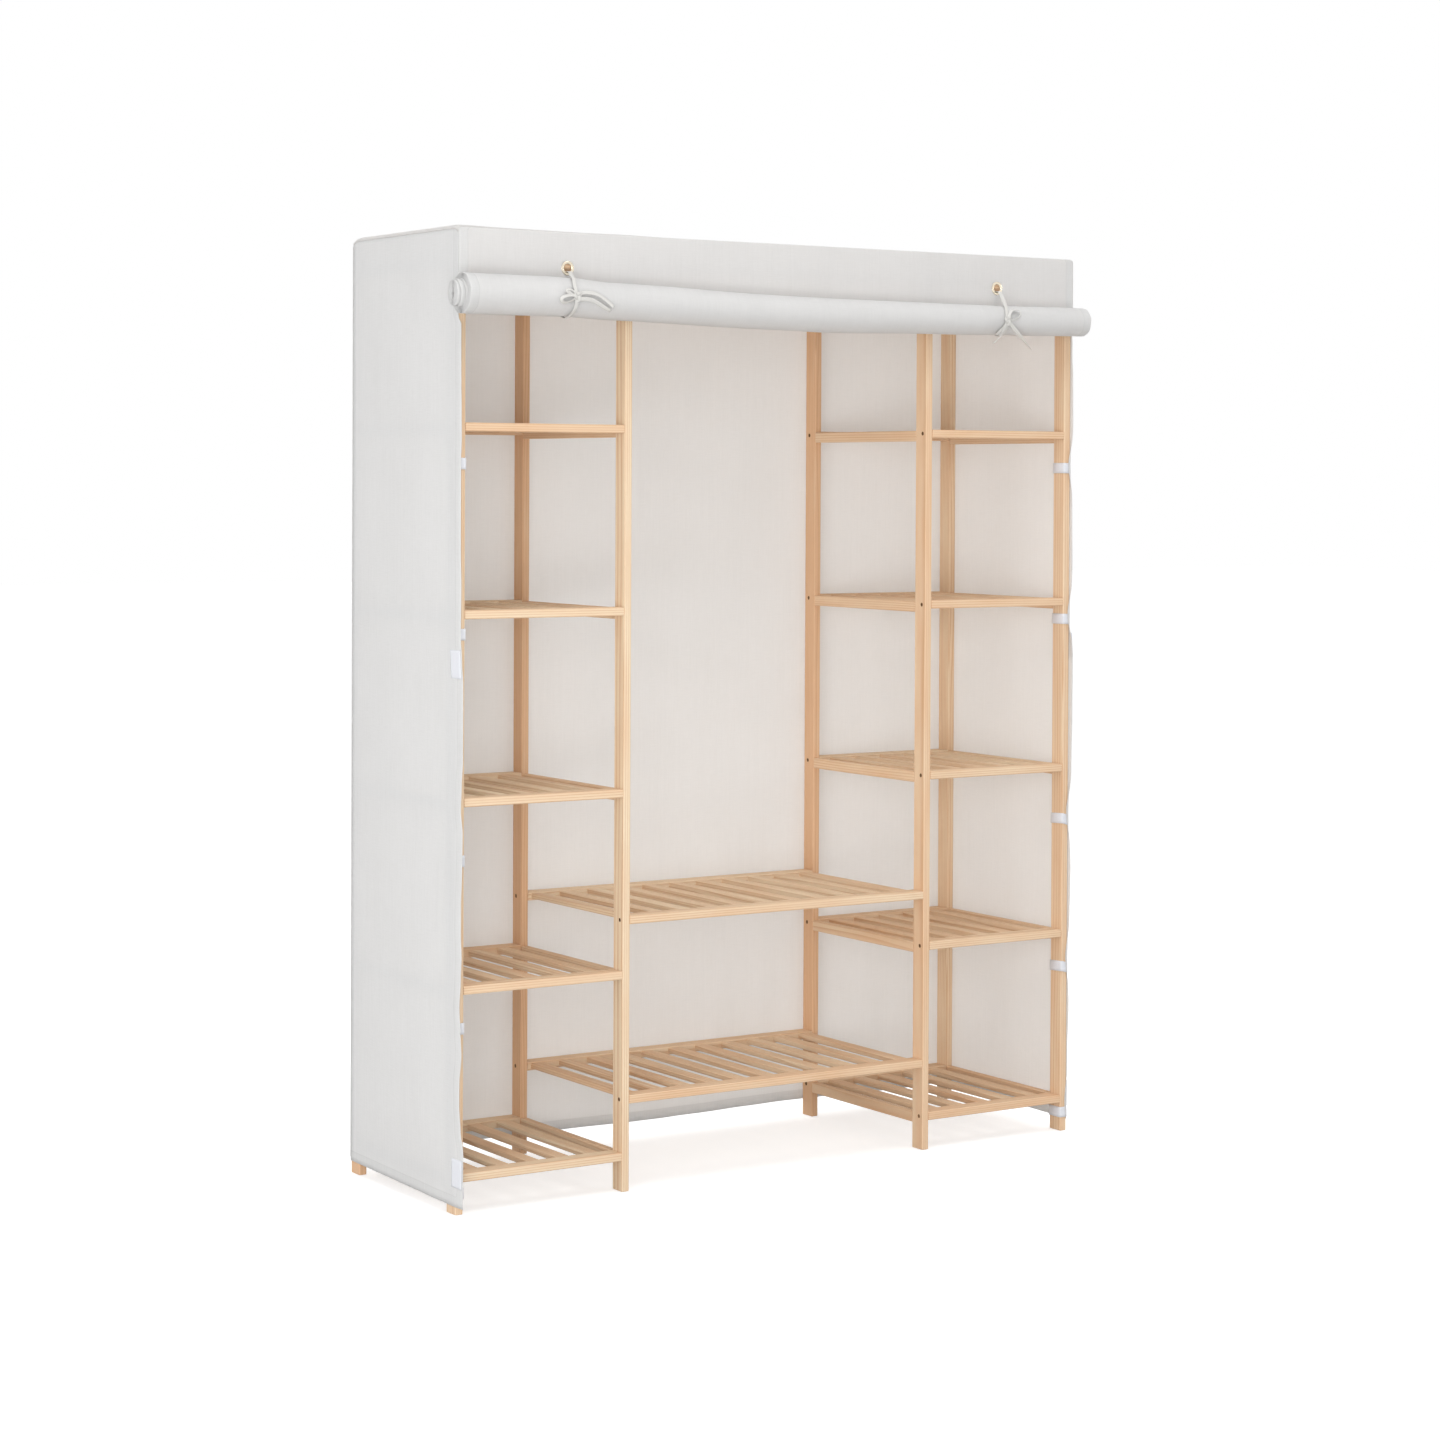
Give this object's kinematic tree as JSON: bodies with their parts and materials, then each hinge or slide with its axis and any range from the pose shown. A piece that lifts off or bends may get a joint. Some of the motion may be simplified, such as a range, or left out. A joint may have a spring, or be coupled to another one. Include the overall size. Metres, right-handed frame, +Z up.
{
  "type": "portable fabric wardrobe",
  "caption": "Freestanding slatted pine clothes rack with shelf columns beside a hanging bay, under a fitted fabric cover whose front door is rolled up and tied.",
  "frame": {"origin": "on the floor, under the middle of the whole part with its rolled door", "axes": "+Z up, -Y towards the open front, +X to the right as seen from the front"},
  "size_m": [1.393, 0.4863, 1.6985],
  "materials": {
    "pine": "planed, unvarnished pale pine",
    "cover_cloth": "matt off-white plain-woven polyester",
    "eyelet_brass": "plain polished brass",
    "tie_tape": "matt white cotton tape"
  },
  "bodies": {
    "frame": {"left_end_post_front": "pine", "left_end_post_back": "pine", "left_end_rung_1": "pine", "left_end_rung_2": "pine", "left_end_rung_3": "pine", "left_end_rung_4": "pine", "left_end_rung_5": "pine", "left_end_rung_6": "pine", "left_inner_post_front": "pine", "left_inner_post_back": "pine", "left_inner_rung_1": "pine", "left_inner_rung_2": "pine", "left_inner_rung_3": "pine", "left_inner_rung_4": "pine", "left_inner_rung_5": "pine", "left_inner_rung_6": "pine", "right_inner_post_front": "pine", "right_inner_post_back": "pine", "right_inner_rung_1": "pine", "right_inner_rung_2": "pine", "right_inner_rung_3": "pine", "right_inner_rung_4": "pine", "right_inner_rung_5": "pine", "right_inner_rung_6": "pine", "right_end_post_front": "pine", "right_end_post_back": "pine", "right_end_rung_1": "pine", "right_end_rung_2": "pine", "right_end_rung_3": "pine", "right_end_rung_4": "pine", "right_end_rung_5": "pine", "right_end_rung_6": "pine", "left_shelf_1": "pine", "left_shelf_2": "pine", "left_shelf_3": "pine", "left_shelf_4": "pine", "left_shelf_5": "pine", "left_top_panel": "pine", "middle_shelf_1": "pine", "middle_shelf_2": "pine", "middle_top_panel": "pine", "right_shelf_1": "pine", "right_shelf_2": "pine", "right_shelf_3": "pine", "right_shelf_4": "pine", "right_shelf_5": "pine", "right_top_panel": "pine", "left_rod_rung": "pine", "right_rod_rung": "pine", "hanging_rod": "pine", "cover_top": "cover_cloth", "cover_back": "cover_cloth", "cover_left_side": "cover_cloth", "cover_right_side": "cover_cloth"},
    "door": {"door_curtain": "cover_cloth", "left_eyelet": "eyelet_brass", "right_eyelet": "eyelet_brass", "left_tie": "tie_tape", "right_tie": "tie_tape"}
  },
  "joints": [
    {"name": "door_swing", "type": "hinge", "parent": "frame", "child": "door", "pos_m": [0.004, -0.168, 1.6985], "axis": [-1, 0, 0], "range_deg": [0, 230]}
  ]
}
